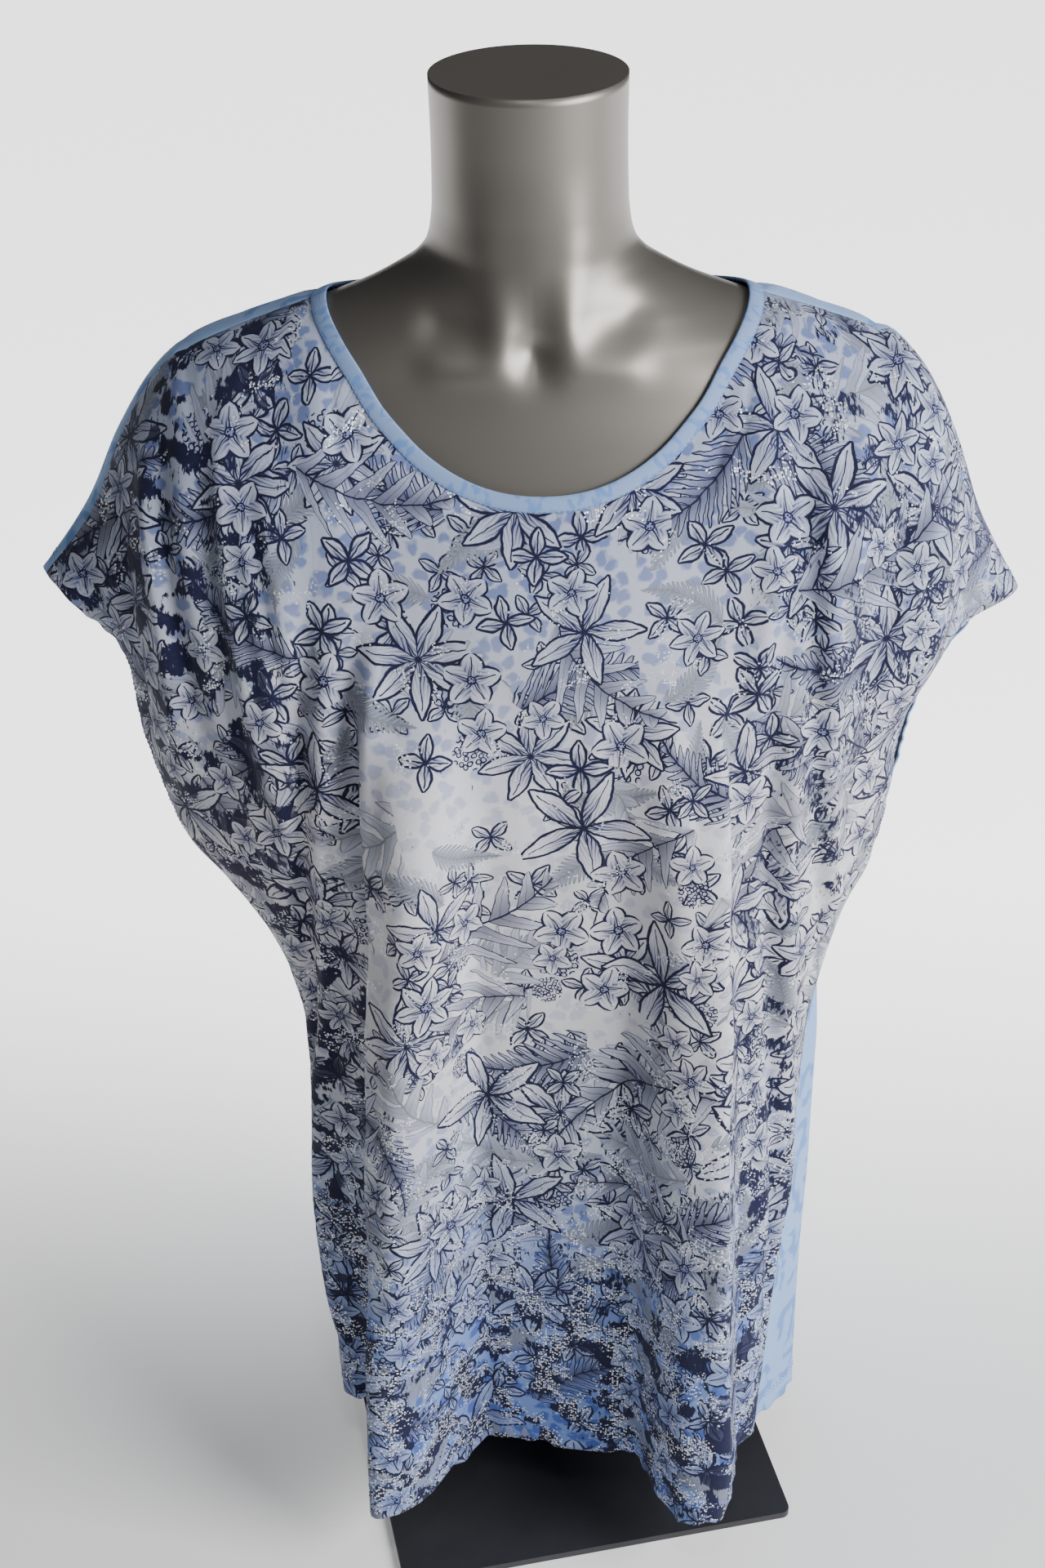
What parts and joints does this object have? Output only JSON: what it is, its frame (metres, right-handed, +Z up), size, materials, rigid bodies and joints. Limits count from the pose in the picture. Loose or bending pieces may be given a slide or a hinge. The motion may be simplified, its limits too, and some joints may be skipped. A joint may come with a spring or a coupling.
{
  "type": "blouse on dress form",
  "caption": "Wide pullover blouse with grown-on cap sleeves and a bound scoop neck, hanging in folds on a limbless display torso that stands on a square base plate.",
  "frame": {"origin": "centre of the base plate's underside", "axes": "+Z up, the front of the blouse faces -Y, the wearer's left is +X"},
  "size_m": [0.562, 0.3157, 0.938],
  "materials": {
    "front_jersey": "fine jersey, printed indigo on pale blue and grey, with scattered silver glitter",
    "back_jersey": "fine jersey, light blue with soft darker spots",
    "binding_jersey": "folded jersey strip, topstitched",
    "form_lacquer": "warm silver-grey satin lacquer",
    "plate_black": "dark satin paint",
    "post_steel": "plain drawn tube"
  },
  "bodies": {
    "root": {"front_panel": "front_jersey", "back_panel": "back_jersey", "neckband": "binding_jersey", "display_form": "form_lacquer", "base_plate": "plate_black", "post": "post_steel"}
  },
  "joints": []
}
